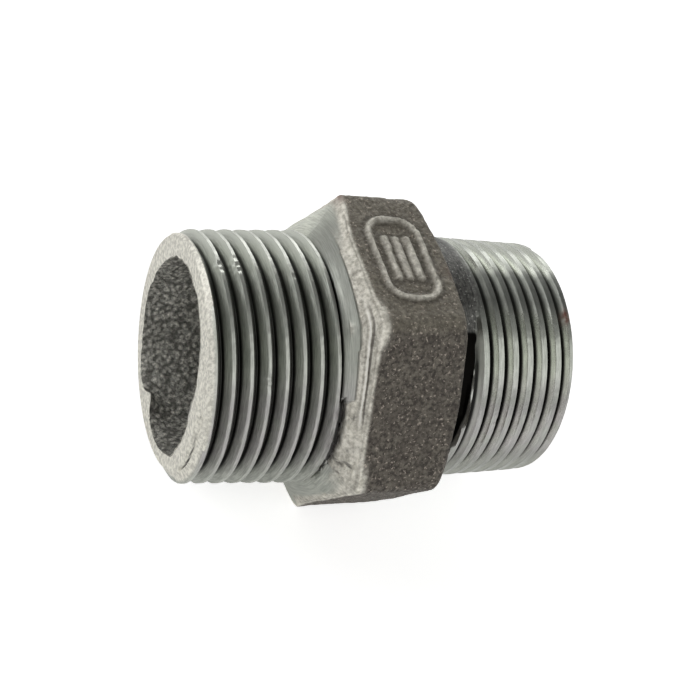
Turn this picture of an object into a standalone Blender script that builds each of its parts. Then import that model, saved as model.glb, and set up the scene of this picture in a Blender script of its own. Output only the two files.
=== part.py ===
"""Hex nipple, 1 in pipe thread on both ends, one malleable iron casting.

Frame: X runs along the bore, left being -X and right +X. The origin is on the
bore's axis half way along the fitting, and +Z is square to one wrench flat.
All lengths are in metres.

Pieces are built upright, turned about local Z, and laid along X at the end. A
"height" is a place along local Z, which becomes world X.
"""
import math

import bmesh
import bpy
from mathutils import Matrix

MM = 0.001

# ---- fitting and bore ----------------------------------------------------
LENGTH = 49.9 * MM                 # end face to end face
HALF_LENGTH = LENGTH / 2
BORE_RADIUS = 12.6 * MM
BORE_OVERRUN = 3 * MM              # bore cutter beyond each end face

# ---- hexagon and shoulders -----------------------------------------------
ACROSS_FLATS = 38.2 * MM           # wrench size
HEX_CORNER_RADIUS = ACROSS_FLATS / math.sqrt(3.0)
HEX_CORNER_ANGLE = math.radians(30)    # first corner, so that a flat faces +Z
HEX_EDGE_RADIUS = 1.5 * MM         # cast rounding of the hexagon's edges
HEX_LEFT = -5.0 * MM               # where the flats end
HEX_RIGHT = 5.9 * MM
SHOULDER_LEFT = -7.9 * MM          # feet of the shoulders
SHOULDER_RIGHT = 8.2 * MM
SHOULDER_FOOT_RADIUS = 16.9 * MM
FOOT_CORNER_ANGLE = math.radians(5)    # first corner of each foot circle

# ---- threads -------------------------------------------------------------
PITCH = 25.4 / 11.5 * MM           # 11.5 threads to the inch
TAPER = 1.0 / 32.0                 # radius gained per unit of length (1:16 on diameter)
END_CREST_RADIUS = 16.05 * MM      # crest cone at the end faces
FLANK_ANGLE = math.radians(30)     # half of the 60 degree thread form
THREAD_OVERRUN = 1.5 * MM          # thread swept beyond each end face
CREST_PLACE_ANGLE = 40.28          # degrees from +Z towards -Y, where crest places are given

LEFT_CREST_FLAT = 0.41 * MM
LEFT_DEPTH = 1.43 * MM
LEFT_CREST_PLACE = -22.19 * MM
LEFT_GROOVE_FULL = -7.2 * MM       # the groove is at full depth out from here
LEFT_GROOVE_GONE = -6.4 * MM       # and gone here, inside the shoulder
LEFT_ROD_TAIL = 2 * MM             # rod swept on past the faded groove

RIGHT_CREST_FLAT = 0.86 * MM
RIGHT_DEPTH = 1.10 * MM
RIGHT_CREST_PLACE = 22.63 * MM
RIGHT_GROOVE_FULL = 11.2 * MM
RIGHT_GROOVE_GONE = 8.6 * MM       # short of the shoulder
RIGHT_ROD_TAIL = 3 * MM

# ---- turned blanks -------------------------------------------------------
LEFT_FACE_RADIUS = 15.3 * MM       # outer edge of each end face
RIGHT_FACE_RADIUS = 15.85 * MM
LEAD_CHAMFER_LENGTH = 0.65 * MM    # left face to crest cone; its slope serves both ends
LEAD_CONE_LENGTH = 2.2 * MM        # the chamfer's cone, carried on clear of the crests
LEFT_BLANK_INNER = 6.0 * MM        # inner end of each blank, distance from the middle
RIGHT_BLANK_INNER = 6.5 * MM

# ---- facets and tolerances -----------------------------------------------
TURN_STEPS = 48                    # facets to one turn of a thread or blank
BORE_STEPS = 64
FOOT_STEPS = 36
EDGE_SEGMENTS = 3
TURN_WELD = 0.00001                # merge distance where a turned blank closes
ROD_WELD = 0.000002                # merge distance between neighbouring thread turns
BODY_WELD = 0.000004               # merge distance after the booleans
DISSOLVE_ANGLE = math.radians(0.5)
SHARP_ANGLE = math.radians(25)

PART = "hex_nipple"

# Lays local Z along world X and local X along world Z, so a local angle is
# the angle from +Z towards -Y.
LAY_DOWN = Matrix(((0, 0, 1, 0), (0, -1, 0, 0), (1, 0, 0, 0), (0, 0, 0, 1)))


# ---- helpers -------------------------------------------------------------
def new_collection(name):
    collection = bpy.data.collections.new(name)
    bpy.context.scene.collection.children.link(collection)
    return collection


def place(name, mesh, cutter=True):
    """Add an object; cutters go in their own collection, hidden from renders."""
    obj = bpy.data.objects.new(name, mesh)
    (cutters if cutter else parts).objects.link(obj)
    if cutter:
        obj.hide_render = True
        obj.display_type = "WIRE"
    return obj


def mesh_from(bm, name):
    """Write a bmesh to a new mesh and free it."""
    mesh = bpy.data.meshes.new(name)
    bm.to_mesh(mesh)
    bm.free()
    return mesh


def freeze(obj):
    """Keep the evaluated shape of an object as its own mesh."""
    bpy.context.view_layer.update()
    graph = bpy.context.evaluated_depsgraph_get()
    mesh = bpy.data.meshes.new_from_object(obj.evaluated_get(graph))
    obj.modifiers.clear()
    obj.data = mesh


def turned(name, profile, pitch=0.0, turns=1, cutter=True):
    """Sweep an open profile of (radius, height) about Z, rising pitch each turn."""
    mesh = bpy.data.meshes.new(name)
    edges = [(i, i + 1) for i in range(len(profile) - 1)]
    mesh.from_pydata([(radius, 0.0, height) for radius, height in profile], edges, [])
    obj = place(name, mesh, cutter)
    mod = obj.modifiers.new("turn", "SCREW")
    mod.axis = "Z"
    mod.angle = math.tau
    mod.steps = TURN_STEPS
    mod.render_steps = TURN_STEPS
    mod.screw_offset = pitch
    mod.iterations = turns
    mod.use_merge_vertices = pitch == 0.0
    mod.merge_threshold = TURN_WELD
    freeze(obj)
    return obj


def boolean(obj, operation, other):
    mod = obj.modifiers.new(other.name, "BOOLEAN")
    mod.operation = operation
    mod.solver = "EXACT"
    mod.object = other


def crest_radius(height):
    """Radius of the threads' crest cone at a height."""
    return END_CREST_RADIUS + (HALF_LENGTH - abs(height)) * TAPER


# ---- threaded rods -------------------------------------------------------
def thread_section(crest_flat, depth):
    """One pitch of the untapered thread, as (radius, height)."""
    root = END_CREST_RADIUS - depth
    flank = depth * math.tan(FLANK_ANGLE)
    return [
        (END_CREST_RADIUS, PITCH - crest_flat / 2),
        (root, PITCH - crest_flat / 2 - flank),
        (root, crest_flat / 2 + flank),
        (END_CREST_RADIUS, crest_flat / 2),
        (END_CREST_RADIUS, -crest_flat / 2),
    ]


def taper_and_fade(bm, groove_full, groove_gone):
    """Move the thread onto its cone and fade the groove out between two heights."""
    for vert in bm.verts:
        radius = math.hypot(vert.co.x, vert.co.y)
        fade = (vert.co.z - groove_full) / (groove_gone - groove_full)
        fade = min(max(fade, 0.0), 1.0)
        filled = radius + (END_CREST_RADIUS - radius) * fade
        reach = filled + crest_radius(vert.co.z) - END_CREST_RADIUS
        vert.co.x *= reach / radius
        vert.co.y *= reach / radius


def mean_height(edges):
    return sum(vert.co.z for edge in edges for vert in edge.verts) / (2 * len(edges))


def close_ends(bm):
    """Close each open end with a fan of faces to a point on the axis."""
    rim = [edge for edge in bm.edges if edge.is_boundary]
    middle = mean_height(rim)
    for below in (True, False):
        edges = [edge for edge in rim if (mean_height([edge]) < middle) == below]
        hub = bm.verts.new((0.0, 0.0, mean_height(edges)))
        for edge in edges:
            bm.faces.new((edge.verts[0], edge.verts[1], hub))


def threaded_rod(name, crest_flat, depth, crest_place, low, high,
                 groove_full, groove_gone, cutter=True):
    """A solid right-hand tapered screw that covers the heights low to high.

    One pitch of the section is swept along the helix, so each turn meets the next.
    """
    start = crest_place - PITCH * CREST_PLACE_ANGLE / 360.0
    start += PITCH * math.floor((low - start) / PITCH)
    turns = math.ceil((high - start) / PITCH)
    section = [(radius, start + height)
               for radius, height in thread_section(crest_flat, depth)]
    rod = turned(name, section, PITCH, turns, cutter)

    bm = bmesh.new()
    bm.from_mesh(rod.data)
    bmesh.ops.remove_doubles(bm, verts=bm.verts, dist=ROD_WELD)
    taper_and_fade(bm, groove_full, groove_gone)
    close_ends(bm)
    bmesh.ops.recalc_face_normals(bm, faces=bm.faces)
    bm.to_mesh(rod.data)
    bm.free()
    return rod


# ---- turned blanks -------------------------------------------------------
def turned_blank(name, side, inner, face_radius):
    """The envelope that gives a rod its end face and lead-in chamfer."""
    chamfer_top = crest_radius(HALF_LENGTH - LEAD_CHAMFER_LENGTH)
    slope = (chamfer_top - LEFT_FACE_RADIUS) / LEAD_CHAMFER_LENGTH
    outer_radius = face_radius + slope * LEAD_CONE_LENGTH
    profile = [
        (0.0, HALF_LENGTH),
        (face_radius, HALF_LENGTH),
        (outer_radius, HALF_LENGTH - LEAD_CONE_LENGTH),
        (outer_radius, inner),
        (0.0, inner),
    ]
    if side < 0:
        profile = [(radius, -height) for radius, height in reversed(profile)]
    return turned(name, profile)


# ---- hexagon with its cast shoulders -------------------------------------
def ring(bm, radius, height, sides, first_corner):
    """A polygon square to Z; create_circle starts on +Y, hence the quarter turn."""
    made = bmesh.ops.create_circle(bm, cap_ends=False, segments=sides, radius=radius)
    turn = Matrix.Rotation(first_corner - math.pi / 2, 4, "Z")
    bmesh.ops.transform(bm, matrix=Matrix.Translation((0, 0, height)) @ turn,
                        verts=made["verts"])


def make_boss():
    """The hull of two hexagons and the two round shoulder feet."""
    bm = bmesh.new()
    for radius, height, sides, first_corner in (
        (SHOULDER_FOOT_RADIUS, SHOULDER_LEFT, FOOT_STEPS, FOOT_CORNER_ANGLE),
        (HEX_CORNER_RADIUS, HEX_LEFT, 6, HEX_CORNER_ANGLE),
        (HEX_CORNER_RADIUS, HEX_RIGHT, 6, HEX_CORNER_ANGLE),
        (SHOULDER_FOOT_RADIUS, SHOULDER_RIGHT, FOOT_STEPS, FOOT_CORNER_ANGLE),
    ):
        ring(bm, radius, height, sides, first_corner)
    bmesh.ops.convex_hull(bm, input=bm.verts, use_existing_faces=False)
    bmesh.ops.dissolve_limit(bm, angle_limit=DISSOLVE_ANGLE, verts=bm.verts, edges=bm.edges)
    # Both ends on hexagon corners: the six long edges and the ends of the flats.
    hex_edges = [
        edge for edge in bm.edges
        if min(math.hypot(vert.co.x, vert.co.y) for vert in edge.verts)
        > HEX_CORNER_RADIUS * 0.99
    ]
    # The offset puts the rounding tangent to two flats, which turn 60 degrees.
    bmesh.ops.bevel(bm, geom=hex_edges, offset=HEX_EDGE_RADIUS * math.tan(math.radians(30)),
                    offset_type="OFFSET", segments=EDGE_SEGMENTS, profile=0.5,
                    affect="EDGES", clamp_overlap=True)
    bmesh.ops.recalc_face_normals(bm, faces=bm.faces)
    return place("boss", mesh_from(bm, "boss"))


def make_bore():
    bm = bmesh.new()
    bmesh.ops.create_cone(bm, cap_ends=True, segments=BORE_STEPS, radius1=BORE_RADIUS,
                          radius2=BORE_RADIUS, depth=LENGTH + 2 * BORE_OVERRUN)
    return place("bore", mesh_from(bm, "bore"))


# ---- finish --------------------------------------------------------------
def clean_and_shade(mesh):
    """Weld the slivers left by the booleans and smooth all but the sharp edges."""
    bm = bmesh.new()
    bm.from_mesh(mesh)
    bmesh.ops.remove_doubles(bm, verts=bm.verts, dist=BODY_WELD)
    bmesh.ops.dissolve_degenerate(bm, edges=bm.edges, dist=BODY_WELD)
    bm.to_mesh(mesh)
    bm.free()
    mesh.shade_smooth()
    mesh.set_sharp_from_angle(angle=SHARP_ANGLE)


def cast_iron():
    iron = bpy.data.materials.new("cast_iron")
    iron.use_nodes = True
    inputs = iron.node_tree.nodes["Principled BSDF"].inputs
    inputs["Base Color"].default_value = (0.23, 0.215, 0.195, 1.0)
    inputs["Metallic"].default_value = 0.85
    inputs["Roughness"].default_value = 0.5
    return iron


# ---- build ---------------------------------------------------------------
for old in list(bpy.data.objects):
    bpy.data.objects.remove(old, do_unlink=True)

parts = new_collection(PART)
cutters = new_collection(PART + "_cutters")

# The left rod becomes the body; everything else is joined to it or cut from it.
body = threaded_rod(
    "nipple_body", LEFT_CREST_FLAT, LEFT_DEPTH, LEFT_CREST_PLACE,
    low=-HALF_LENGTH - THREAD_OVERRUN, high=LEFT_GROOVE_GONE + LEFT_ROD_TAIL,
    groove_full=LEFT_GROOVE_FULL, groove_gone=LEFT_GROOVE_GONE, cutter=False)
right_rod = threaded_rod(
    "right_rod", RIGHT_CREST_FLAT, RIGHT_DEPTH, RIGHT_CREST_PLACE,
    low=RIGHT_GROOVE_GONE - RIGHT_ROD_TAIL, high=HALF_LENGTH + THREAD_OVERRUN,
    groove_full=RIGHT_GROOVE_FULL, groove_gone=RIGHT_GROOVE_GONE)
left_blank = turned_blank("left_blank", -1, LEFT_BLANK_INNER, LEFT_FACE_RADIUS)
right_blank = turned_blank("right_blank", 1, RIGHT_BLANK_INNER, RIGHT_FACE_RADIUS)
boss = make_boss()
bore = make_bore()

for piece in (body, right_rod, boss, bore, left_blank, right_blank):
    piece.matrix_world = LAY_DOWN

boolean(right_rod, "INTERSECT", right_blank)
boolean(body, "INTERSECT", left_blank)
boolean(body, "UNION", boss)
boolean(body, "UNION", right_rod)
boolean(body, "DIFFERENCE", bore)
freeze(body)
clean_and_shade(body.data)

body.data.materials.clear()        # any empty slots from the booleans
body.data.materials.append(cast_iron())
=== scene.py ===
"""Looks of a hex nipple: a casting with raw skin, two cut taper threads and a raised mark.

The axis lies along X with the middle at the origin; one flat of the hexagon faces up (+Z).
Left is -X and right is +X. An "angle" runs round the axis from +Z towards +Y, in radians.
"Facing" is the same angle counted from the side that faces the camera, upwards in its view;
limits for it are given in degrees. Shapes are worked out in mm and built in metres.
"""

import math
from types import SimpleNamespace
import bpy
import numpy as np
from mathutils import Matrix, Vector


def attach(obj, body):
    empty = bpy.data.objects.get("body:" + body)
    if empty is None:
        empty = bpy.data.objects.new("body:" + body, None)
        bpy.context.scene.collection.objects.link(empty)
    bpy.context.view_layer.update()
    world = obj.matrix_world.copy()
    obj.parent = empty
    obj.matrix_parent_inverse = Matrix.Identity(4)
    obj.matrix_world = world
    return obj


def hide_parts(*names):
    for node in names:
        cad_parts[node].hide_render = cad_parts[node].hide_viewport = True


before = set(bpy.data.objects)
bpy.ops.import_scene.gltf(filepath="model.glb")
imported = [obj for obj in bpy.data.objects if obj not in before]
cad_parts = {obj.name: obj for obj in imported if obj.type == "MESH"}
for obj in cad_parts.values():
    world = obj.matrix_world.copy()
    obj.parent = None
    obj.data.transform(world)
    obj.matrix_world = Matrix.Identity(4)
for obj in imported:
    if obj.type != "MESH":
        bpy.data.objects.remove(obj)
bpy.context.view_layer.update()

MM = 0.001
TAU = 2 * math.pi

# ---------------------------------------------------------------- sizes, mm
HALF_LENGTH = 24.95
FLATS = 38.2
EDGE_ROUND = 1.5  # rounding of the hexagon corners at the left shoulder
PITCH = 25.4 / 11.5
TAPER = 1 / 32
CREST_RADIUS_AT_END = 16.05
LEFT_FORM = (0.0928, 1.43)  # half of the crest flat in pitches, depth of the groove
RIGHT_FORM = (0.182, 1.13)
LEFT_CREST = -22.19  # x of one crest, on the camera side
RIGHT_CREST = 22.63
LEFT_LAST_CREST = LEFT_CREST + 6 * PITCH
LEAD_RADIUS_LEFT = 15.3  # radius of the lead chamfer at the end face
LEAD_RADIUS_RIGHT = 15.98
LEAD_SLOPE = 0.77 / 0.65
BORE_RADIUS = 12.6
WALL_LEFT = -7.88  # wall between the left thread and the shoulder
RIDGE_LEFT = -5.48  # top of the left shoulder
STRIP_EDGE = -7.1  # right edge of the tool's strip
STRIP_RADIUS = 16.45
NECK_RIGHT = 8.25
RIGHT_START = 8.6  # where the right thread begins
RIGHT_PART = 4.0  # right of this the hub can run into the right thread
VIEW_TURN = math.radians(40.27)  # turn of the camera's side from +Z towards -Y

# The skin is one closed sheet: its columns run round the axis, its rows follow
# the thread helix and close on themselves through the bore.
COLUMNS = 400
ROWS_PER_TURN = 8
TURNS = 31
ROWS = ROWS_PER_TURN * TURNS
RIGHT_TURN = 24  # turn of the sheet that passes through RIGHT_ROW
RIGHT_ROW = RIGHT_CREST - PITCH * VIEW_TURN / TAU
HUB_FROM, HUB_TO = -7.6, 9.0  # x between which the rows leave the thread pitch

# places along the sheet, in turns
AT_FACE = 1.8623
AT_WALL = AT_FACE + (WALL_LEFT + HALF_LENGTH) / PITCH
AT_HUB = AT_FACE + (HUB_FROM + HALF_LENGTH) / PITCH
AT_RIGHT = RIGHT_TURN + (HUB_TO - RIGHT_ROW) / PITCH
AT_END = RIGHT_TURN + (HALF_LENGTH - RIGHT_ROW) / PITCH
AT_BORE = AT_END + 1.35


# ------------------------------------------------------------- small helpers
def smooth(start, stop, value):
    share = np.clip((value - start) / (stop - start), 0.0, 1.0)
    return share * share * (3 - 2 * share)


def window(value, start, full, fade, stop):
    """1 from full to fade, falling smoothly to 0 at start and stop."""
    return smooth(start, full, value) * (1 - smooth(fade, stop, value))


def bell(value, centre, width):
    return np.exp(-(((value - centre) / width) ** 2))


def lerp(start, stop, share):
    return start + (stop - start) * share


def soft_min(first, second, reach):
    share = np.clip(0.5 + 0.5 * (second - first) / reach, 0.0, 1.0)
    return lerp(second, first, share) - reach * share * (1 - share)


def soft_max(first, second, reach):
    return -soft_min(-first, -second, reach)


def degrees_from(angle, centre):
    return (np.degrees(angle) - centre + 180) % 360 - 180


def near(angle, centre, width):
    """1 at the angle centre (degrees), falling to 0 over width."""
    return bell(degrees_from(angle, centre), 0, width)


def between(angle, start, stop, edge=6.0):
    """1 for angles between start and stop (degrees), with soft ends."""
    away = np.abs(degrees_from(angle, (start + stop) / 2))
    half = (stop - start) / 2
    return 1 - smooth(half - edge / 2, half + edge / 2, away)


def noise(points, size, seed):
    """Smooth random numbers from -1 to 1 at points (…, 3), with lumps of the given size."""
    rng = np.random.default_rng(seed)
    count = 32
    grid = rng.uniform(-1, 1, (count, count, count))
    place = points / size + rng.uniform(0, count, 3)
    cell = np.floor(place).astype(int)
    share = place - cell
    share = share * share * (3 - 2 * share)
    total = 0.0
    for corner in np.ndindex(2, 2, 2):
        weight = np.prod(np.where(corner, share, 1 - share), axis=-1)
        total = total + weight * grid[tuple(np.moveaxis((cell + corner) % count, -1, 0))]
    return total


def rough(points, *layers):
    """Sum of noises, each given as (height, size, seed)."""
    return sum(height * noise(points, size, seed) for height, size, seed in layers)


# ------------------------------------------------------- shape of the outside
def thread_fall(x, angle, crest, form):
    """How far the thread lies under its crest line, 0 to the depth of its form."""
    half_crest, depth = form
    flank = depth * math.tan(math.radians(30)) / PITCH
    phase = ((x - crest) / PITCH + (angle + VIEW_TURN) / TAU) % 1.0
    from_crest = np.minimum(phase, 1 - phase)
    return depth * np.clip((from_crest - half_crest) / flank, 0.0, 1.0)


def thread_radius(x, angle, crest, form, to_end, lead_radius):
    """Taper thread at the distance to_end from its end face, with its lead chamfer."""
    radius = CREST_RADIUS_AT_END + TAPER * to_end - thread_fall(x, angle, crest, form)
    return radius, lead_radius + LEAD_SLOPE * to_end


def from_corner(angle):
    """Angle from the nearest corner of the hexagon."""
    return (angle - math.radians(30) + math.pi / 6) % (math.pi / 3) - math.pi / 6


def hexagon(angle, edge):
    """Radius of the hexagon; edge is the radius its corners are rounded with."""
    away = from_corner(angle)
    flat = FLATS / 2 / np.cos(math.pi / 6 - np.abs(away))
    centre = (FLATS / 2 - edge) * 2 / math.sqrt(3)
    reach = edge * edge - (centre * np.sin(away)) ** 2
    corner = centre * np.cos(away) + np.sqrt(np.maximum(reach, 0.0))
    touch = np.arctan2(edge * 0.5, centre + edge * math.cos(math.pi / 6))
    return np.where(np.abs(away) < touch, corner, flat)


def corner_share(angle):
    """1 on the corners of the hexagon, 0 on its flats."""
    return 1 - smooth(math.radians(4), math.radians(15), np.abs(from_corner(angle)))


def bore_edge(facing):
    """Radius of the bore at the left end face, off centre and uneven."""
    waves = ((-1.03, 0.37), (0.0, 0.70), (0.07, 0.36), (0.06, -0.08))  # cos, sin of 1, 2 … waves
    return 12.35 + sum(
        c * np.cos((k + 1) * facing) + s * np.sin((k + 1) * facing) for k, (c, s) in enumerate(waves)
    )


def right_thread(x, angle, facing):
    """Radius of the right thread and neck, share of full thread, and where the neck is full."""
    # the thread starts late on the upper side, where the neck was left uncut
    late = 1.1 * between(facing, -38, 190, 56)
    late = late + 0.5 * between(facing, -7, 190, 12) + 0.4 * between(facing, 9, 190, 12)
    strength = smooth(0, 1, (x - RIGHT_START - late) / 0.5)
    full = between(facing, 17, 200, 16)
    neck = 15.5 + 1.2 * full
    neck = neck + full * 0.035 * np.sin(x * TAU / 0.42) * smooth(RIGHT_START, 9.0, x)
    thread, lead = thread_radius(
        x, angle, RIGHT_CREST, RIGHT_FORM, HALF_LENGTH - x, LEAD_RADIUS_RIGHT
    )
    return np.minimum(lerp(neck, thread, strength), lead), strength, full


def outside(x, angle):
    """Radius of the outside at x and angle, how far it is cut, and lines other steps use."""
    facing = angle + VIEW_TURN
    wrapped = (facing + math.pi) % TAU - math.pi
    last = LEFT_LAST_CREST - PITCH * wrapped / TAU
    zone = between(facing, -18.5, 70, 4)  # reach of the tool's strip

    # cast left shoulder, rising from its foot to its ridge
    foot = 17.25 + 0.35 * np.cos(facing - math.radians(60))
    ridge = RIDGE_LEFT + 0.72 * between(facing, 58, 112, 24)
    ridge = ridge + 0.30 * between(facing, -140, -62, 24) + 0.05 * np.sin(5 * facing)
    rise = (hexagon(angle, EDGE_ROUND) - foot) / (ridge - WALL_LEFT)
    cast = foot + rise * (x - WALL_LEFT)
    top = foot + rise * (STRIP_EDGE - WALL_LEFT) - 0.12

    # left thread; the strip closes its last groove and runs up the shoulder
    left, lead = thread_radius(x, angle, LEFT_CREST, LEFT_FORM, x + HALF_LENGTH, LEAD_RADIUS_LEFT)
    left = np.minimum(left, lead)
    strip = STRIP_RADIUS + (top - STRIP_RADIUS) * (x - last - 0.5) / (STRIP_EDGE - last - 0.5)
    filled = np.maximum(left, strip - 0.55 * bell(x, last + 0.46, 0.14))
    left = np.where(x > last + 0.21, lerp(left, filled, zone), left)
    closed = np.where(x < 0, zone * smooth(last + 0.5, last + 0.62, x), 0.0)

    # hexagon between its two shoulders
    wide = np.maximum(between(facing, 52, 108, 20), between(facing, -118, -56, 20))
    tool = 17.0 + (2.2 - 0.5 * wide) * (x - WALL_LEFT) - 0.3 * wide
    tool = lerp(tool, np.where(x < STRIP_EDGE, strip, np.maximum(tool, cast + 0.5)), zone)
    corners = corner_share(angle)
    toe = 7.55 + 0.5 * corners
    right_shoulder = 17.1 + 2.5 * (toe - x)
    hexa = hexagon(angle, EDGE_ROUND + 1.3 * smooth(-5, 6, x))
    hub = soft_min(hexa, right_shoulder, 1.2 + 1.6 * corners)
    hub = soft_min(hub, soft_min(cast, tool, 0.10), 0.28)

    # the foot of the right shoulder meets the neck in a small hollow
    right, strength, full = right_thread(x, angle, facing)
    body = np.where(x < WALL_LEFT, left, hub)
    body = np.where(x > RIGHT_PART, soft_max(hub, right, 0.25), body)
    body = np.where(x > NECK_RIGHT + 1.0, right, body)

    turned = smooth(-0.04, 0.10, cast - tool)
    turned = np.maximum(turned, wide * (1 - smooth(ridge - 1.3, ridge - 0.6, x)))
    turned = np.where(x < WALL_LEFT, 1.0, np.where(x < ridge, turned, 0.0))
    threaded = np.where(x > RIGHT_PART, smooth(-0.05, 0.1, right - hub), 0.0)
    return SimpleNamespace(
        radius=body, cut=np.maximum(turned, threaded), ridge=ridge, strength=strength,
        full=full, toe=toe, closed=closed, last=last,
    )


# ------------------------------------------------------------ the sheet itself
def snap(turns, target):
    """Moves the row nearest to target onto it, in every column."""
    turns[np.abs(turns - target).argmin(axis=0), np.arange(COLUMNS)] = target


def snap_pair(turns, target, gap):
    """Moves the rows on both sides of target close to it, so that a step has a steep wall."""
    below = np.where(turns <= target, turns, -1e9).argmax(axis=0)
    above = np.where(turns > target, turns, 1e9).argmin(axis=0)
    turns[below, np.arange(COLUMNS)] = target - gap
    turns[above, np.arange(COLUMNS)] = target + gap


rows = np.arange(ROWS)[:, None]
columns = np.arange(COLUMNS)[None, :]
angle = TAU * columns / COLUMNS + 0 * rows
facing = (angle + VIEW_TURN + math.pi) % TAU - math.pi
turns = (rows / ROWS_PER_TURN - columns / COLUMNS) % TURNS

# inside the threads the rows lie on the corners of the thread form, given in pitches
even = np.arange(ROWS_PER_TURN) / ROWS_PER_TURN
left_flat, right_flat = LEFT_FORM[0], RIGHT_FORM[0]
left_rows = np.array([-left_flat, left_flat, 0.217, 0.34, 0.4664, 0.5336, 0.66, 0.783])
right_rows = np.array([-right_flat, 0.0, right_flat, 0.29, 0.39, 0.477, 0.523, 0.66])
in_left = window(turns, AT_FACE - 0.5, AT_FACE + 0.1, AT_HUB, AT_HUB + 0.8)
in_right = window(turns, AT_RIGHT - 0.9, AT_RIGHT, AT_END, AT_END + 0.8)
row = rows % ROWS_PER_TURN
turns = turns + (left_rows - even)[row] * in_left + (right_rows - even)[row] * in_right
snap(turns, AT_FACE)
snap_pair(turns, AT_WALL, gap=0.012)
snap(turns, AT_END)
snap(turns, AT_BORE)

# along the axis: dense on the shoulders, even on the flats
hub_steps = np.cumsum([0.0, 19.0, 3.0, 25.0, 17.4])
hub_turns = AT_HUB + hub_steps / 64.4 * (AT_RIGHT - AT_HUB)
x = np.interp(turns, hub_turns, [HUB_FROM, -5.2, -4.6, 4.9, HUB_TO])
x = np.where(turns < AT_HUB, -HALF_LENGTH + PITCH * (turns - AT_FACE), x)
x = np.where(turns > AT_RIGHT, RIGHT_ROW + PITCH * (turns - RIGHT_TURN), x)
x = np.clip(x, -HALF_LENGTH, HALF_LENGTH)

shape = outside(x, angle)
radius, cut, ridge, strength = shape.radius, shape.cut, shape.ridge, shape.strength

on_left = turns < AT_FACE
on_right = (turns > AT_END) & (turns < AT_BORE)
in_bore = turns >= AT_BORE
outer = ~(on_left | on_right | in_bore)


# end faces: flat rings from the thread to the bore
def face_rim(face_x, lead_radius):
    """Radius of the thread where it meets an end face."""
    return np.minimum(outside(np.full_like(x, face_x), angle).radius, lead_radius)


def circle(place):
    """Points round the bore, at a place of their own in the noise."""
    return np.stack([angle * 0 + place, 13 * np.cos(angle), 13 * np.sin(angle)], -1)


ring = np.clip(turns / AT_FACE, 0, 1)
edge_soft = bore_edge(facing)
edge_left = edge_soft - 2.6 * near(facing, -151, 7) - 0.5 * near(facing, -138, 6)
edge_left = edge_left + 0.5 * near(facing, -170, 9) + rough(circle(5), (0.18, 1.1, 3), (0.22, 2.6, 4))
edge_right = BORE_RADIUS + rough(circle(9), (0.25, 2.4, 5))
rim_left = face_rim(-HALF_LENGTH + 1e-6, LEAD_RADIUS_LEFT)
rim_right = face_rim(HALF_LENGTH - 1e-6, LEAD_RADIUS_RIGHT)
radius = np.where(on_left, lerp(edge_left, rim_left, ring), radius)
ring_right = np.clip((AT_BORE - turns) / (AT_BORE - AT_END), 0, 1)
radius = np.where(on_right, lerp(edge_right, rim_right, ring_right), radius)

# bore: raw cored hole, its rows closer together towards the left end
into = np.clip((turns - AT_BORE) / (TURNS - AT_BORE), 0, 1)
bore_x = HALF_LENGTH - 2 * HALF_LENGTH * (1 - (1 - into) ** 1.7)
x = np.where(in_bore, bore_x, x)
from_left = bore_x + HALF_LENGTH
wall = BORE_RADIUS + 0.1 * np.sin(3 * angle)
wall = lerp(wall, edge_soft, np.exp(-from_left / 6.0))
wall = wall + (edge_left - edge_soft) * np.exp(-from_left / 0.9)
wall = lerp(wall, edge_right, np.exp(-(HALF_LENGTH - bore_x) / 1.5))
radius = np.where(in_bore, wall, radius)
cut = np.where(on_left | on_right, 1.0, np.where(in_bore, 0.0, cut))


def skin_points():
    return np.stack([x, radius * np.sin(angle), radius * np.cos(angle)], -1)


# ------------------------------------------------------ uneven casting, wear
points = skin_points()
on_hub = outer & (x > WALL_LEFT) & (x < NECK_RIGHT)
lumps = rough(points, (0.10, 4.5, 11), (0.06, 1.9, 12), (0.045, 0.85, 13), (0.05, 0.5, 14))
relief = on_hub * (1 - cut) * lumps
bore_rough = rough(points, (0.16, 2.4, 21), (0.14, 1.1, 22), (0.10, 0.6, 23))
relief = relief - in_bore * smooth(0.0, 0.8, HALF_LENGTH - np.abs(x)) * bore_rough

# the left shoulder below the tool's strip is rough, with torn lumps
torn = between(facing, -52, -20, 5) * window(x, -8.2, -7.7, -6.2, -5.7)
relief = relief + on_hub * torn * rough(points, (0.42, 1.25, 31), (0.18, 0.6, 32))
cut = np.where(on_hub & (between(facing, -52, -20, 2) > 0.5), 0.0, cut)
# where the tool left off the last groove is choked with torn metal
crack = between(facing, -62, -19.5, 5)
crack = crack * window(x, shape.last + 0.24, shape.last + 0.45, -7.4, -7.0)
crack = crack * (outer & (x < -6.0))
shred = rough(points, (1.0, 0.75, 33), (0.5, 0.45, 34))
relief = relief + crack * np.where(x < WALL_LEFT, 1.0 + 0.50 * shred, 0.30 * shred)
# a second narrow strip and the lip beside it
groove = between(facing, -24, 14, 5) * window(x, -6.34, -6.24, -5.98, -5.86)
lip = between(facing, -30, 20, 12) * window(x, -6.62, -6.50, -6.34, -6.24)
relief = relief + on_hub * (0.10 * lip - 0.14 * groove)
# the end of the tool's strip
notch = between(facing, -24, -18.6, 1.5) * window(x, -8.4, -7.8, -7.0, -6.8)
relief = relief - on_hub * 0.35 * notch
# curved ridge low on the shoulder and the pit beside it
low = np.hypot((x + 7.0) / 0.9, (np.degrees(facing) + 64) / 6.5)
relief = relief + on_hub * 0.36 * bell(low, 1.0, 0.28) * between(facing, -90, -52, 6)
pit = bell(x, -7.6, 0.45) * near(facing, -75, 3.0)
relief = relief - on_hub * 0.9 * pit


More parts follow.
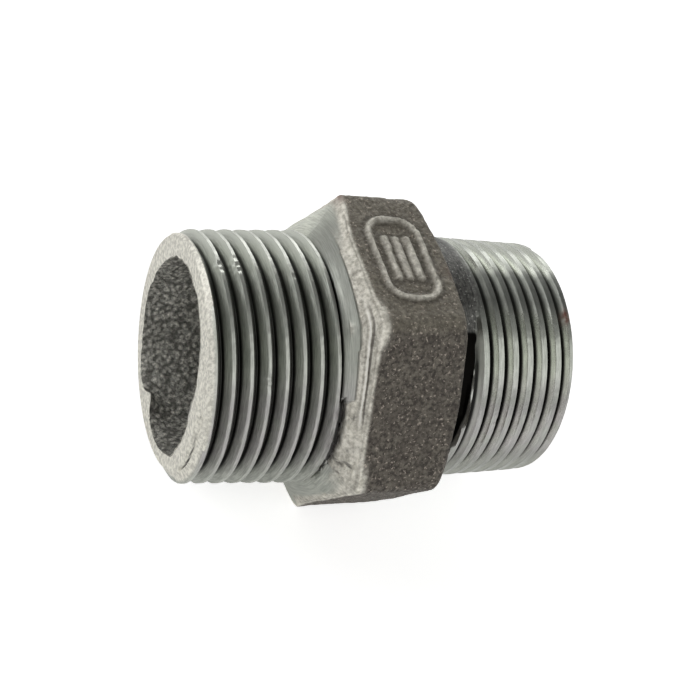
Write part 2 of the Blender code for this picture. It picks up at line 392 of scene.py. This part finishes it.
# the raised mark on the top flat: a rounded frame with three plain bars
def rounded_box(centre_x, half_x, half_y, corner):
    """Distance outside a rounded box that lies on the top flat."""
    from_x = np.abs(x - 0.5 - centre_x) - (half_x - corner)
    from_y = np.abs(radius * np.sin(angle) + 0.2) - (half_y - corner)
    beyond = np.hypot(np.maximum(from_x, 0), np.maximum(from_y, 0))
    return beyond + np.minimum(np.maximum(from_x, from_y), 0) - corner


on_top = on_hub & (np.abs(degrees_from(angle, 0)) < 30)
frame = rounded_box(0.0, half_x=3.45, half_y=6.7, corner=2.7)
bars = [rounded_box(centre, half_x=0.42, half_y=3.7, corner=0.40) for centre in (-1.55, 0.0, 1.55)]
mark = np.minimum.reduce([np.abs(frame) - 0.32, *bars]) + rough(points, (0.13, 0.9, 41))
raised = on_top * (1 - smooth(-0.18, 0.24, mark))
dished = on_top * (1 - smooth(-0.8, 0.1, frame))
relief = relief + 0.42 * raised - 0.12 * dished

# share of the thread depth, 9 where there is no thread
fall_left = thread_fall(x, angle, LEFT_CREST, LEFT_FORM) / LEFT_FORM[1]
fall_right = thread_fall(x, angle, RIGHT_CREST, RIGHT_FORM) / RIGHT_FORM[1]
fall = np.where(outer & (x > RIGHT_START), fall_right, 9.0)
fall = np.where(outer & (x < WALL_LEFT), fall_left, fall)
on_crest = (fall < 0.05) & outer

# nicks and burrs on the crests: x, facing, width along x, width in degrees, depth
NICKS = (
    (-22.6, 43, 0.5, 1.3, 0.26), (-22.3, 40, 0.5, 0.9, 0.18), (-20.45, 43, 0.45, 1.2, 0.30),
    (-20.35, 39.5, 0.45, 1.0, 0.22), (-20.3, 47, 0.4, 1.1, 0.16), (-17.8, -9.5, 0.4, 1.2, 0.30),
    (-17.75, -13, 0.4, 0.8, 0.22), (-13.1, 36, 0.4, 0.8, 0.15), (14.2, -31, 0.3, 1.0, 0.15),
)
for nick_x, nick_facing, width_x, width_facing, depth in NICKS:
    nick = bell(x, nick_x, width_x) * near(facing, nick_facing, width_facing)
    relief = relief - outer * depth * nick
tear = rough(points, (0.035, 0.45, 51)) + rough(points * np.array([0.6, 1, 1]), (0.03, 1.6, 52))
relief = relief + on_crest * tear * np.where(x > 0, 0.5, 1.0)
relief = relief + (outer & (fall < 0.9) & ~on_crest) * rough(points, (0.012, 0.7, 53))
# the left end is a little uneven at its rim
relief = relief + (on_left & (turns > AT_FACE - 0.02)) * rough(points, (0.10, 0.6, 61))

# shifts along x on the left end face, with a curved step low on it
end_shift = on_left * rough(points, (0.05, 1.4, 62)) * window(ring, 0, 0.3, 0.85, 1.0)
step_radius = np.interp(
    np.degrees(facing),
    [-92, -81, -74, -62, -49, -35, -28],
    [15.6, 15.1, 14.5, 14.0, 13.55, 13.45, 13.3],
)
step_zone = on_left * between(facing, -100, -29, 10)
step_line = step_zone * bell(radius, step_radius, 0.26)
step_line = step_line * np.interp(np.degrees(facing), [-80, -35], [1.0, 0.8])
end_shift = end_shift + 0.45 * step_line + 0.34 * step_zone * smooth(0.0, 0.3, radius - step_radius)
end_shift = end_shift + on_left * 0.12 * (1 - smooth(0.0, 0.16, ring))  # rounded bore edge

radius = radius + relief
x = x + end_shift
points = skin_points()

# ------------------------------------------------------------ masks for paint
# bright wear on the ridge, the corners, the mark and the slope of the left shoulder
ridge_line = bell(x, ridge - 0.06, 0.24) * (0.85 + rough(points, (0.2, 1.2, 71)))
corner_line = corner_share(angle) ** 3 * window(x, -5.6, -5.3, -5.1, -4.2) * 0.9
worn = on_hub * np.clip(ridge_line + corner_line, 0, 1)
worn = np.maximum(worn, raised * (0.72 + rough(points, (0.25, 0.7, 72))))
on_slope = on_hub * (1 - smooth(ridge - 0.4, ridge, x))
worn = np.maximum(worn, on_slope * (0.80 + rough(points, (0.16, 1.0, 73))))

# depth in the thread grooves and in the torn metal
deep = outer * np.where(fall < 5, fall, 0) * np.where(x > RIGHT_START, strength, 1.0)
deep = deep * (1 - shape.closed)
deep = deep * (1 - crack) + crack * smooth(0.05, 0.40, -shred)

# painted shade: black line at the toe of the right shoulder, in the gap where the right thread has
# not started, and along the step of the left end face
toe = shape.toe
gap = (1 - strength) * between(facing, -53, 11, 8)
toe_line = between(facing, -53, 34, 12) * (1 - smooth(toe + 0.25, toe + 0.6, x))
gap = np.maximum(gap, toe_line) * (outer & (x > RIGHT_PART)) * smooth(toe - 0.5, toe + 0.1, x)
gap = np.maximum(gap, 0.66 * step_line)

face = on_left | on_right | (outer & (x < -HALF_LENGTH + 0.62) & (radius < 16.2))
rust = outer * 1.4 * bell(x, 24.4, 0.50) * near(facing, 18.5, 3.6)
rust = rust + on_hub * 0.8 * bell(x, -4.9, 0.5) * near(facing, 70, 3.0)
rust = rust + outer * 0.35 * bell(x, 7.0, 1.2) * near(facing, 33, 4.0)
neck_share = np.maximum(shape.full * (1 - 0.9 * smooth(10.6, 12.8, x)), 1 - strength)
plain = (outer & (x > 6.5)) * neck_share

# painted shade in the corners beside the raised mark, under the lip of the left shoulder, along its
# wall, in the pit and in the hollows of the torn metal
painted_shade = on_top * window(mark, 0.10, 0.35, 0.45, 1.0) * 0.45
lip_line = bell(x, -6.11, 0.17) * between(facing, -26, 10, 8) * 0.35
wall_line = bell(x, WALL_LEFT, 0.20) * between(facing, -60, -18, 4)
torn_painted_shade = torn * smooth(0.30, 0.60, -shred) * 0.9
painted_shade = np.maximum(painted_shade, on_hub * np.maximum.reduce([lip_line, wall_line, pit, torn_painted_shade]))

masks = {
    "cut": cut, "face": face, "deep": deep, "worn": worn, "rust": rust, "bore": in_bore,
    "plain": plain, "painted_shade": painted_shade, "gap": gap,
}


# ---------------------------------------------------------------- mesh object
def build_skin():
    """The sheet as a triangle mesh with its UV map and its masks."""
    here = (rows * COLUMNS + columns).astype(np.int32)
    up = np.roll(here, -1, axis=0)
    # one step past the last column is the first column, one turn of rows further on
    beside = np.roll(here, -1, axis=1)
    beside[:, -1] = ((np.arange(ROWS) - ROWS_PER_TURN) % ROWS) * COLUMNS
    up_beside = np.roll(beside, -1, axis=0)
    halves = np.array([[0, 1, 2], [0, 2, 3]])  # corners of the two triangles of a quad
    loops = np.stack([here, up, up_beside, beside], -1)[..., halves].reshape(-1)
    count = len(loops) // 3

    mesh = bpy.data.meshes.new("nipple_skin")
    mesh.vertices.add(ROWS * COLUMNS)
    mesh.vertices.foreach_set("co", (points.reshape(-1) * MM).astype(np.float32))
    mesh.loops.add(len(loops))
    mesh.loops.foreach_set("vertex_index", loops.astype(np.int32))
    mesh.polygons.add(count)
    mesh.polygons.foreach_set("loop_start", np.arange(0, count * 3, 3, dtype=np.int32))
    mesh.polygons.foreach_set("loop_total", np.full(count, 3, dtype=np.int32))
    mesh.update(calc_edges=True)
    mesh.validate()

    u = columns / COLUMNS + 0 * rows
    v = rows / ROWS + 0 * columns
    steps = ((0, 0), (0, 1), (1, 1), (1, 0))
    corners = [np.stack([u + du / COLUMNS, v + dv / ROWS], -1) for du, dv in steps]
    uv = np.stack(corners, -2)[..., halves, :].reshape(-1)
    mesh.uv_layers.new(name="OFBake").data.foreach_set("uv", uv.astype(np.float32))

    for name, mask in masks.items():
        attribute = mesh.attributes.new(name, "FLOAT", "POINT")
        values = np.clip(1.0 * mask, 0, 1).astype(np.float32)
        attribute.data.foreach_set("value", values.reshape(-1))

    mesh.polygons.foreach_set("use_smooth", np.ones(count, dtype=bool))
    mesh.set_sharp_from_angle(angle=math.radians(32))
    return mesh


def link_object(name, data):
    thing = bpy.data.objects.new(name, data)
    bpy.context.scene.collection.objects.link(thing)
    return thing


nipple = link_object("nipple_skin", build_skin())


# ------------------------------------------------------------- shader helpers
class Value:
    """Output of a shader node; arithmetic on it adds math nodes."""

    def __init__(self, tree, socket):
        self.tree = tree
        self.socket = socket

    def math(self, kind, other=0.0, clamp=False):
        return math_node(kind, self, other, clamp)

    def __add__(self, other):
        return self.math("ADD", other)

    def __sub__(self, other):
        return self.math("SUBTRACT", other)

    def __rsub__(self, other):
        return math_node("SUBTRACT", other, self)

    def __mul__(self, other):
        return self.math("MULTIPLY", other)

    def __truediv__(self, other):
        return self.math("DIVIDE", other)

    def ramp(self, low, high, out=(0.0, 1.0)):
        """Goes smoothly from out[0] at low to out[1] at high."""
        inputs = {
            "Value": self, "From Min": low, "From Max": high, "To Min": out[0], "To Max": out[1]
        }
        return add_value(self.tree, "ShaderNodeMapRange", inputs, interpolation_type="SMOOTHSTEP")


def new_tree(owner):
    owner.use_nodes = True
    owner.node_tree.nodes.clear()
    return owner.node_tree


def add_node(tree, kind, inputs, **settings):
    """Adds a node; an input is a Value, a number, a vector or a colour as a tuple of three."""
    node = tree.nodes.new(kind)
    for key, setting in settings.items():
        setattr(node, key, setting)
    for key, value in inputs.items():
        if isinstance(value, Value):
            tree.links.new(value.socket, node.inputs[key])
        else:
            node.inputs[key].default_value = (*value, 1) if isinstance(value, tuple) else value
    return node


def add_value(tree, kind, inputs, output=0, **settings):
    return Value(tree, add_node(tree, kind, inputs, **settings).outputs[output])


def tree_of(*values):
    return next(value.tree for value in values if isinstance(value, Value))


def math_node(kind, first, second, clamp=False):
    inputs = {0: first, 1: second}
    tree = tree_of(first, second)
    return add_value(tree, "ShaderNodeMath", inputs, operation=kind, use_clamp=clamp)


def mix(factor, start, stop, **settings):
    """Colour start where factor is 0, stop where it is 1."""
    inputs = {0: factor, 6: start, 7: stop}
    tree = tree_of(factor, start, stop)
    return add_value(tree, "ShaderNodeMix", inputs, output=2, data_type="RGBA", **settings)


def blend(factor, start, stop):
    """Number start where factor is 0, stop where it is 1."""
    inputs = {0: factor, 2: start, 3: stop}
    return add_value(tree_of(factor, start, stop), "ShaderNodeMix", inputs, data_type="FLOAT")


def layered(base, *layers, using=mix):
    """Lays each (share, colour) over base in turn."""
    for share, colour in layers:
        base = using(share, base, colour)
    return base


def noise_node(vector, scale, detail=2.0, roughness=0.5):
    inputs = {"Scale": scale, "Detail": detail, "Roughness": roughness, "Vector": vector}
    return add_value(vector.tree, "ShaderNodeTexNoise", inputs, output="Fac")


def camera_ray(tree):
    return add_value(tree, "ShaderNodeLightPath", {}, output="Is Camera Ray")


def coordinates(tree, kind):
    return add_value(tree, "ShaderNodeTexCoord", {}, output=kind)


def principled(tree, inputs):
    """Adds the surface shader and the material output."""
    shader = add_value(tree, "ShaderNodeBsdfPrincipled", inputs)
    add_node(tree, "ShaderNodeOutputMaterial", {"Surface": shader})


# ------------------------------------------------- iron: places and textures
material = bpy.data.materials.new("cast_iron_fitting")
iron = new_tree(material)
at = add_value(
    iron, "ShaderNodeVectorMath", {0: coordinates(iron, "Object"), "Scale": 1 / MM},
    operation="SCALE",
)
split = add_node(iron, "ShaderNodeSeparateXYZ", {0: at})
at_x, at_y, at_z = (Value(iron, socket) for socket in split.outputs)
across = (at_y * at_y + at_z * at_z).math("SQRT")
around = at_y.math("ARCTAN2", at_z) * (180 / math.pi) + math.degrees(VIEW_TURN)  # facing, degrees
height_seen = at_y * math.cos(VIEW_TURN) + at_z * math.sin(VIEW_TURN)  # upwards in the view
upper = height_seen.ramp(9.0, 14.0)
right_side = at_x.ramp(0.0, 1.0)

# turning marks: fine along the axis and the radius, long round it
turned = add_value(iron, "ShaderNodeCombineXYZ", {
    0: (at_x + across * 0.8) * 5.0, 1: at_y / across * 7.0, 2: at_z / across * 7.0,
})
streak = noise_node(turned, scale=1.0, detail=3.0, roughness=0.65)
fine_streak = noise_node(turned, scale=2.6, roughness=0.6)

coarse = noise_node(at, scale=0.45, detail=3.0, roughness=0.55)
medium = noise_node(at, scale=1.1, detail=3.0, roughness=0.6)
grain = noise_node(at, scale=1.85, detail=3.0, roughness=0.62)
speck = noise_node(at, scale=2.7, roughness=0.55)
bore_grain = noise_node(at, scale=1.9, detail=5.0, roughness=0.78)
lump = add_value(
    iron, "ShaderNodeTexVoronoi", {"Scale": 1.55, "Smoothness": 0.35, "Vector": at},
    output="Distance", feature="SMOOTH_F1",
)
glint = speck.ramp(0.60, 0.70)

is_cut, is_face, depth, is_worn, is_rust, is_bore, is_plain, is_painted_shade, is_gap = (
    add_value(iron, "ShaderNodeAttribute", {}, "Fac", attribute_name=name, attribute_type="GEOMETRY")
    for name in masks
)


def line(value, centre, half, soft):
    """1 within half of centre, 0 beyond a further soft."""
    return (value - centre).math("ABSOLUTE").ramp(half + soft, half)


def helix():
    """x shifted so that it is constant along a thread."""
    return at_x + around * (PITCH / 360.0)


def streaked(dark, pale):
    return mix(streak.ramp(0.30, 0.70), dark, pale)


def by_wall():
    """The left shoulder and the last groove before it."""
    return at_x.ramp(-9.2, -8.9) * at_x.ramp(-5.0, -6.0)


# -------------------------------------------------------------- iron: raw skin
skin = mix(grain.ramp(0.34, 0.66), (0.054, 0.046, 0.039), (0.175, 0.156, 0.127))
skin = mix(coarse.ramp(0.35, 0.65), mix(0.4, skin, (0.060, 0.048, 0.040)), skin)
bright_skin = mix(grain.ramp(0.26, 0.72), (0.60, 0.573, 0.50), (0.97, 0.94, 0.855))
beside_ridge = around.ramp(-30.0, -22.0) * around.ramp(22.0, 12.0)
skin = layered(
    skin,
    (glint * 0.8, (0.50, 0.43, 0.37)),
    (at_z.ramp(17.6, 18.8) * 0.10, (0.75, 0.70, 0.52)),  # top flat
    (is_worn * medium.ramp(0.30, 0.55, out=(0.65, 1.0)), bright_skin),
    # thin bands beside the ridge of the left shoulder; the dark band at x -6.14 is painted shadow at
    # the foot of the step up to the ridge
    (line(at_x, -6.66, half=0.04, soft=0.06) * beside_ridge * 0.30, (0.10, 0.09, 0.08)),
    (line(at_x, -6.14, half=0.06, soft=0.07) * beside_ridge * 0.70, (0.09, 0.08, 0.07)),
    (line(at_x, -6.44, half=0.06, soft=0.06) * beside_ridge * 0.7, (0.95, 0.93, 0.88)),
    # painted shade in the corners and hollows
    (is_painted_shade * 0.80, (0.018, 0.015, 0.013)),
)
# painted highlights on the tops of the bore's grains and painted shade in the hollows between them
painted_bore_highlight = lump.ramp(0.36, 0.16) * bore_grain.ramp(0.40, 0.60, out=(0.10, 0.90))
bore_skin = layered(
    mix(bore_grain.ramp(0.38, 0.64), (0.20, 0.20, 0.18), (0.72, 0.70, 0.64)),
    (painted_bore_highlight, (0.95, 0.93, 0.85)),
    (lump.ramp(0.46, 0.66) * 0.6, (0.05, 0.046, 0.040)),
)
skin = mix(is_bore, skin, bore_skin)

# ---------------------------- iron: cut metal, bright crests and duller flanks
metal = streaked(
    mix(right_side, (0.44, 0.442, 0.43), (0.42, 0.425, 0.41)),
    mix(right_side, (0.62, 0.625, 0.60), (0.60, 0.61, 0.585)),
)
flank_left = streaked((0.29, 0.295, 0.28), (0.47, 0.475, 0.455))
# painted light: on the upper side the left flanks are lighter, away from the groove roots
flank_left = mix(upper * depth.ramp(0.80, 0.05), flank_left, (0.60, 0.605, 0.58))
flank_right = streaked((0.58, 0.585, 0.56), (0.76, 0.765, 0.735))
# painted light: the cut metal of the left shoulder is lighter where it faces upwards
high = around.ramp(44.0, 72.0)
shoulder_metal = streaked(
    mix(high, (0.36, 0.362, 0.35), (0.54, 0.54, 0.51)),
    mix(high, (0.56, 0.562, 0.54), (0.80, 0.80, 0.76)),
)
shade = by_wall() * (around.ramp(6.0, 26.0) * around.ramp(80.0, 60.0))
metal = layered(
    metal,
    (depth.ramp(0.012, 0.07), mix(right_side, flank_left, flank_right)),
    (by_wall(), shoulder_metal),
    (shade * 0.6, (0.12, 0.12, 0.115)),
)

# greenish tint, turning pinkish on the lower side
low_side = height_seen.ramp(0.0, -8.0) * height_seen.ramp(-15.5, -12.0)
pinkish = low_side * coarse.ramp(0.30, 0.60, out=(0.35, 1.0))
tint = mix(pinkish, (0.975, 1.0, 0.945), (1.0, 0.965, 0.99))
metal = mix(1.0, metal, tint, blend_type="MULTIPLY")

# painted shade: a band of facing angles on the right thread is painted darker and made rougher
shaded_band = around.ramp(17.0, 27.0) * around.ramp(46.5, 39.5) * right_side
neck_skin = layered(
    mix(grain.ramp(0.36, 0.66), (0.075, 0.075, 0.070), (0.17, 0.17, 0.158)),
    (streak.ramp(0.52, 0.40) * 0.65, (0.030, 0.030, 0.028)),
    (glint * 0.6, (0.60, 0.60, 0.56)),
)
face_metal = mix(grain.ramp(0.35, 0.65), (0.58, 0.565, 0.51), (0.90, 0.88, 0.805))

# painted shade: near-black roots of the grooves, the closed last groove and the black gap
root = blend(right_side, depth.ramp(0.62, 0.86), depth.ramp(0.45, 0.75))
root = root * around.ramp(4.0, 24.0, out=(0.93, 0.76))
inside_outline = height_seen.ramp(18.0, 15.0) * height_seen.ramp(-16.0, -13.0)
root = root * (inside_outline * (1.0 - is_face)) * (1.0 - is_plain)
shut = line(helix(), LEFT_LAST_CREST + 0.44, half=0.10, soft=0.12)
shut = shut * around.ramp(60.0, 30.0) * around.ramp(-70.0, -60.0)
black = is_gap.ramp(0.32, 0.62)
root = root.math("MAXIMUM", shut * 0.9).math("MAXIMUM", black)

metal = layered(
    metal,
    # painted shade on a band of the right thread
    (shaded_band * 0.66, (0.115, 0.12, 0.112)),
    # painted shade on the lower side of the right thread
    (around.ramp(-44.0, -58.0) * right_side * 0.32, (0.20, 0.20, 0.19)),
    (is_plain, neck_skin),
    (is_face, face_metal),
    # painted shade in the roots, the closed groove and the gap
    (root, (0.005, 0.0045, 0.004)),
)

rusted = is_rust * medium.ramp(0.3, 0.6, out=(0.5, 1.0))
base = mix(rusted, mix(is_cut, skin, metal), (0.12, 0.028, 0.010))

# --------------------------------------------------- iron: gloss and relief
left_gloss = streak.ramp(0.3, 0.7, out=(0.44, 0.34))
right_gloss = streak.ramp(0.3, 0.7, out=(0.28, 0.19))
rough_cut = layered(
    blend(right_side, left_gloss, right_gloss),
    (shaded_band, 0.44),
    (is_face, grain.ramp(0.3, 0.7, out=(0.45, 0.60))),
    (is_plain, 0.5),
    (at_x.ramp(-8.0, -7.8) * at_x.ramp(-3.0, -4.0), 0.48),  # left shoulder
    using=blend,
)
roughness = blend(is_cut, grain.ramp(0.3, 0.7, out=(0.70, 0.48)), rough_cut)

metallic_cut = blend(is_plain, blend(upper * (1.0 - right_side), 0.95, 0.72), 0.6)
metallic = blend(is_cut, blend(is_worn, 0.25, 0.5), metallic_cut)
first_flank = line(helix(), RIGHT_CREST - 5 * PITCH - 0.76, half=0.34, soft=0.12)
first_flank = first_flank * around.ramp(14.0, 6.0)
metallic = metallic * (1.0 - first_flank * 0.75)
metallic = metallic.math("SUBTRACT", is_rust * 0.8, clamp=True)

# heights in mm
height_skin = grain * 0.30 + medium * 0.30 + speck * 0.14
height_bore = bore_grain * 0.46 - lump * 0.20
height_skin = blend(is_bore, height_skin * blend(is_worn, 1.0, 0.45), height_bore)
height_cut = (streak * 0.020 + fine_streak * 0.012) * blend(right_side, 1.0, 0.55)
height_cut = blend(is_face, height_cut, grain * 0.09 + speck * 0.05)
bump = add_value(iron, "ShaderNodeBump", {
    "Strength": 1.0, "Distance": MM, "Height": blend(is_cut, height_skin, height_cut),
})
principled(iron, {
    "Base Color": base, "Roughness": roughness, "Metallic": metallic,
    "Specular IOR Level": blend(black, 0.5, 0.03), "Normal": bump,
})
nipple.data.materials.append(material)

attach(nipple, "root")
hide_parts("nipple_body")


# -------------------------------------------------------------- floor, lights
def build_floor():
    """Pale disc just under the bottom flat; it glows more for the camera than for the metal."""
    bpy.ops.mesh.primitive_circle_add(
        vertices=96, radius=0.32, fill_type="NGON", location=(0, 0, -FLATS / 2 * MM - 0.0001)
    )
    floor = bpy.context.object
    floor.name = "floor"
    pale = bpy.data.materials.new("pale_floor")
    tree = new_tree(pale)
    seen = camera_ray(tree)
    cloud = noise_node(coordinates(tree, "Object"), scale=40.0, detail=3.0)
    tone = mix(cloud, (0.90, 0.90, 0.90), (0.94, 0.94, 0.94))
    principled(tree, {
        "Base Color": mix(seen, (0.86, 0.86, 0.85), tone), "Roughness": 0.9,
        "Specular IOR Level": 0.1, "Emission Color": (1, 1, 1),
        "Emission Strength": blend(seen, 0.23, 0.62),
    })
    floor.data.materials.append(pale)


turn_view = Matrix.Rotation(VIEW_TURN, 3, "X")


def from_view(azimuth, elevation):
    """Direction in the turned view: azimuth to its right, elevation up, in degrees."""
    side, up = math.radians(azimuth), math.radians(elevation)
    level = math.cos(up)
    return turn_view @ Vector((math.sin(side) * level, math.sin(up), math.cos(side) * level))


# brightness of the surroundings: elevation in the turned view in degrees, strength
LEVELS = (
    (-180, 0.70), (-140, 0.80), (-110, 0.64), (-60, 0.46), (-42, 0.58), (-26, 0.98), (10, 0.92),
    (24, 0.28), (60, 0.10), (84, 0.11), (92, 0.95), (128, 0.64), (150, 0.64), (180, 0.70),
)
TOP_LEVEL = 2.0  # strength that the ramp stores as 1


def build_world():
    """Soft panels all round: by elevation, then the two sides and one small bright panel."""
    world = bpy.data.worlds.new("studio")
    tree = new_tree(world)
    direction = coordinates(tree, "Generated")

    def along(axis):
        inputs = {0: direction, 1: axis}
        return add_value(tree, "ShaderNodeVectorMath", inputs, "Value", operation="DOT_PRODUCT")

    upward = along(from_view(0, 90))
    turn = upward.math("ARCTAN2", along(from_view(0, 0))) / TAU + 0.5
    ramp = add_node(tree, "ShaderNodeValToRGB", {"Fac": turn})
    ramp.color_ramp.interpolation = "EASE"
    elements = ramp.color_ramp.elements
    while len(elements) < len(LEVELS):
        elements.new(0.5)
    # all positions are set before any colour
    for element, (elevation, _) in zip(elements, LEVELS):
        element.position = (elevation + 180) / 360
    for element, (_, level) in zip(elements, LEVELS):
        element.color = (level / TOP_LEVEL,) * 3 + (1,)
    light = Value(tree, ramp.outputs["Color"]) * TOP_LEVEL

    side = along(Vector((1, 0, 0)))
    left_level = upward.ramp(0.06, 0.30, out=(0.75, 0.15))
    light = blend(side.ramp(-0.72, -0.92), light, left_level)
    light = blend(side.ramp(0.84, 0.97), light, 0.45)
    panel_axis = (Vector((0.60, 0.0, 0.0)) + 0.80 * from_view(0, 116)).normalized()
    rim, core = math.cos(math.radians(11)), math.cos(math.radians(5))
    light = light + along(panel_axis).ramp(rim, core, out=(0.0, 1.2))
    strength = blend(camera_ray(tree), light, 0.95)
    inputs = {"Strength": strength, "Color": (1.0, 1.0, 0.985)}
    background = add_value(tree, "ShaderNodeBackground", inputs)
    add_node(tree, "ShaderNodeOutputWorld", {"Surface": background})
    bpy.context.scene.world = world


def area(name, azimuth, elevation, distance, size, power):
    """Disc light that shines at the origin; distance and size in metres."""
    lamp = bpy.data.lights.new(name, "AREA")
    lamp.shape = "DISK"
    lamp.size = size
    lamp.energy = power
    lamp.color = (1, 1, 1)
    toward = from_view(azimuth, elevation)
    holder = link_object(name, lamp)
    holder.location = toward * distance
    holder.rotation_euler = toward.to_track_quat("Z", "Y").to_euler()


def build_camera():
    data = bpy.data.cameras.new("camera")
    data.sensor_width = 36.0
    data.lens = 66.326811
    data.clip_start = 0.01
    data.clip_end = 20.0
    # swung round towards the part, with small corrections of tilt and roll
    look = Matrix.Rotation(VIEW_TURN, 4, "X")
    for turn, axis in ((-0.43334, "Y"), (0.00473, "X"), (-0.00076, "Z")):
        look = look @ Matrix.Rotation(turn, 4, axis)
    stand = turn_view @ Vector((-72.80365 * MM, 0.0, 157.46737 * MM))
    camera = link_object("camera", data)
    camera.matrix_world = Matrix.Translation(stand) @ look
    bpy.context.scene.camera = camera


build_floor()
build_world()
area("key", azimuth=-30, elevation=112, distance=0.9, size=0.6, power=1.5)
area("fill", azimuth=-84, elevation=38, distance=0.9, size=0.55, power=2.0)
build_camera()
view = bpy.context.scene.view_settings
view.view_transform = "Standard"
view.look = "None"
view.exposure = 0.0

bpy.context.view_layer.update()
